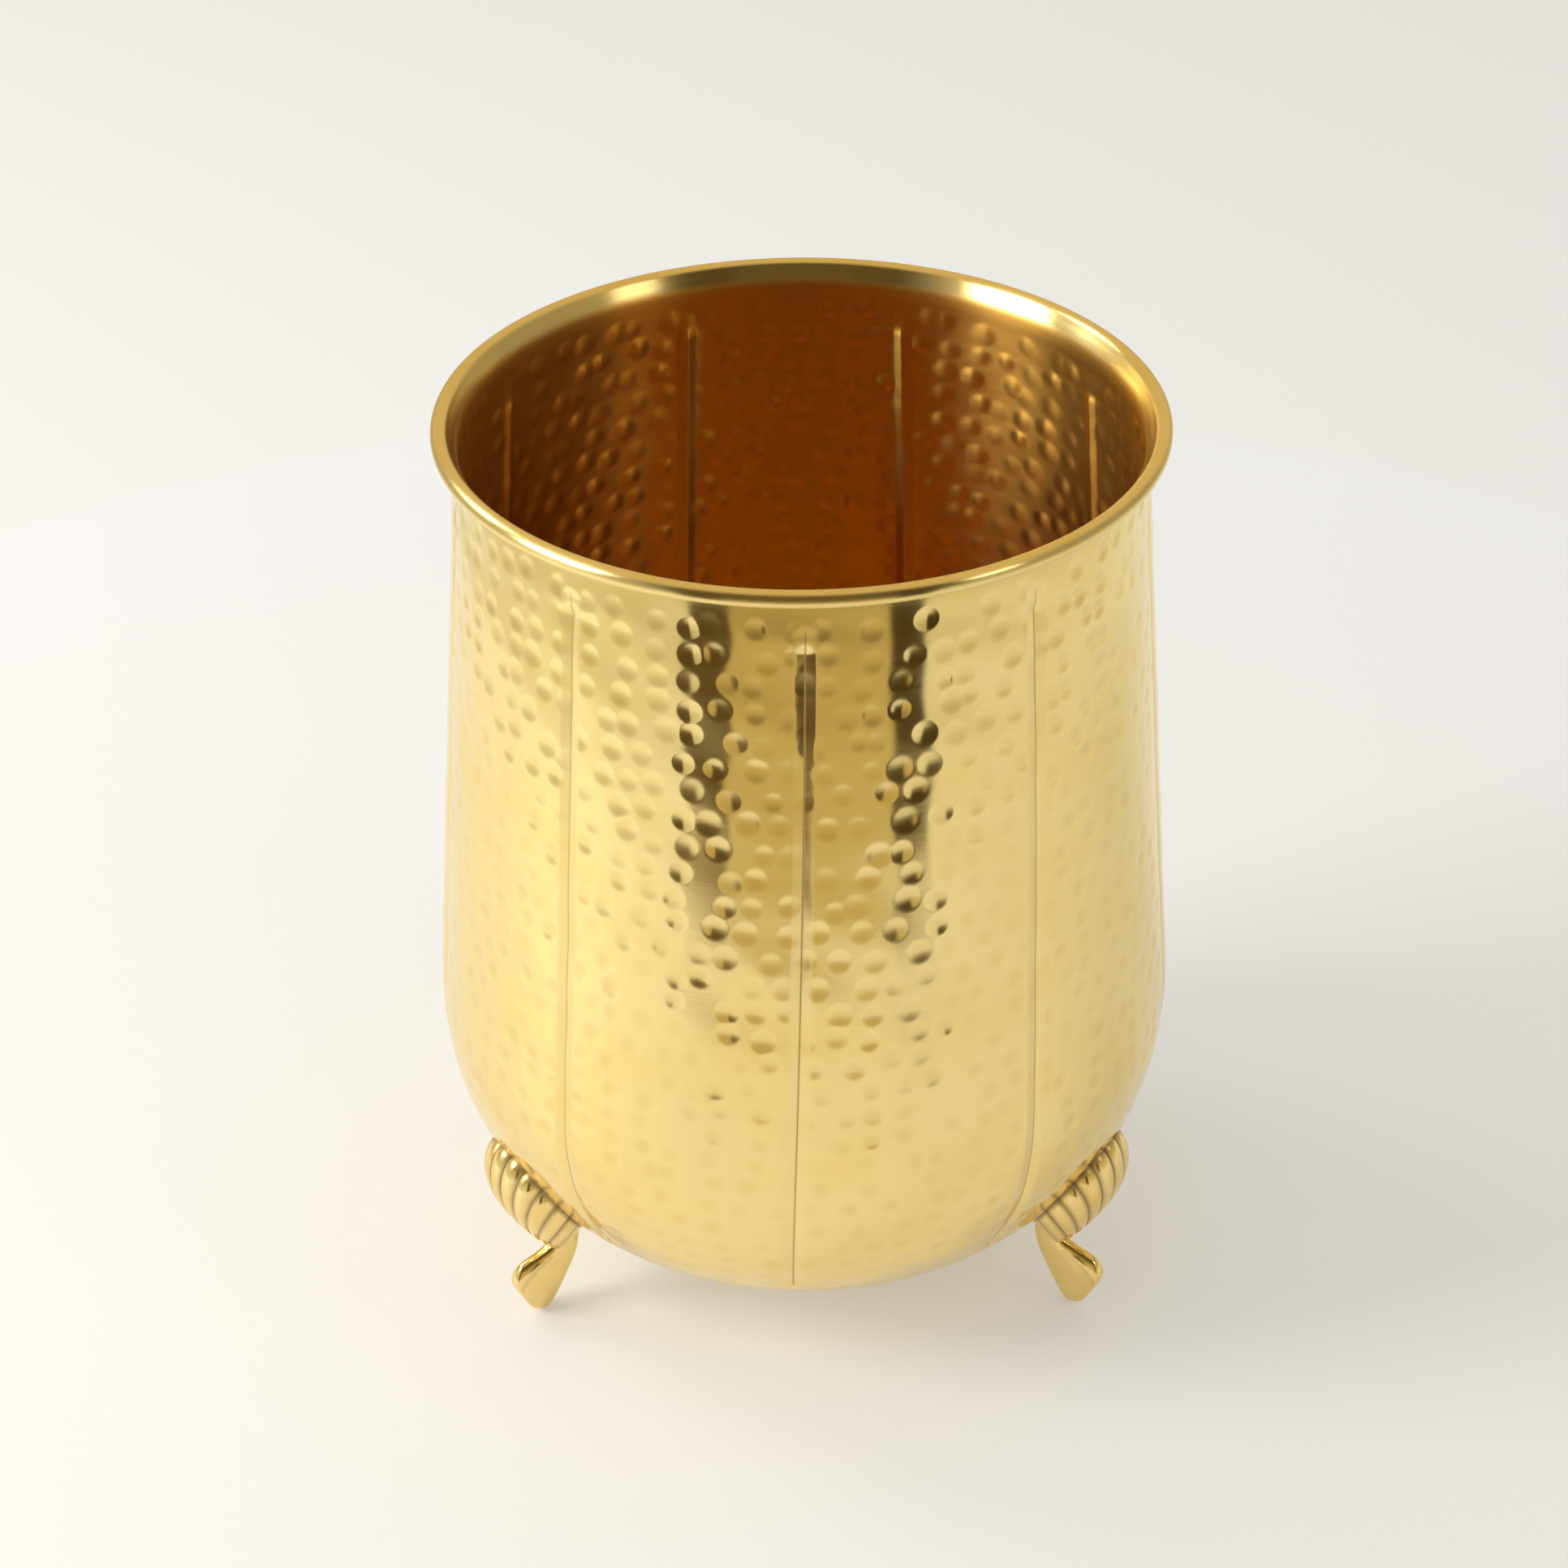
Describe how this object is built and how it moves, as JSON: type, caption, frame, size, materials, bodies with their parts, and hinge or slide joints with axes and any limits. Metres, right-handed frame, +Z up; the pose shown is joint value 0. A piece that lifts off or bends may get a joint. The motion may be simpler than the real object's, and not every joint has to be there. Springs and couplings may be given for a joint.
{
  "type": "footed planter pot",
  "caption": "Tall round hammered brass planter pot with pressed vertical grooves and a rolled wired rim, standing on cast scallop-shell feet.",
  "frame": {"origin": "on the pot's axis, in the plane of the soles that it stands on", "axes": "+Z up along the pot's axis; the front is -Y, where a groove faces and two feet stand left and right of it; +Y points over the third foot"},
  "size_m": [0.2186, 0.2186, 0.28],
  "materials": {
    "spun_brass": "hammered and brushed, satin bright",
    "cast_brass": "polished casting with dark patina in the recesses",
    "brass_screw": "machined",
    "steel_wire": "drawn wire",
    "rubber_seal": "matt"
  },
  "bodies": {
    "root": {"pot_body": "spun_brass", "rim_wire": "steel_wire", "foot_back": "cast_brass", "foot_front_left": "cast_brass", "foot_front_right": "cast_brass", "screw_back": "brass_screw", "screw_front_left": "brass_screw", "screw_front_right": "brass_screw", "washer_back": "brass_screw", "washer_front_left": "brass_screw", "washer_front_right": "brass_screw", "seal_back": "rubber_seal", "seal_front_left": "rubber_seal", "seal_front_right": "rubber_seal"}
  },
  "joints": []
}
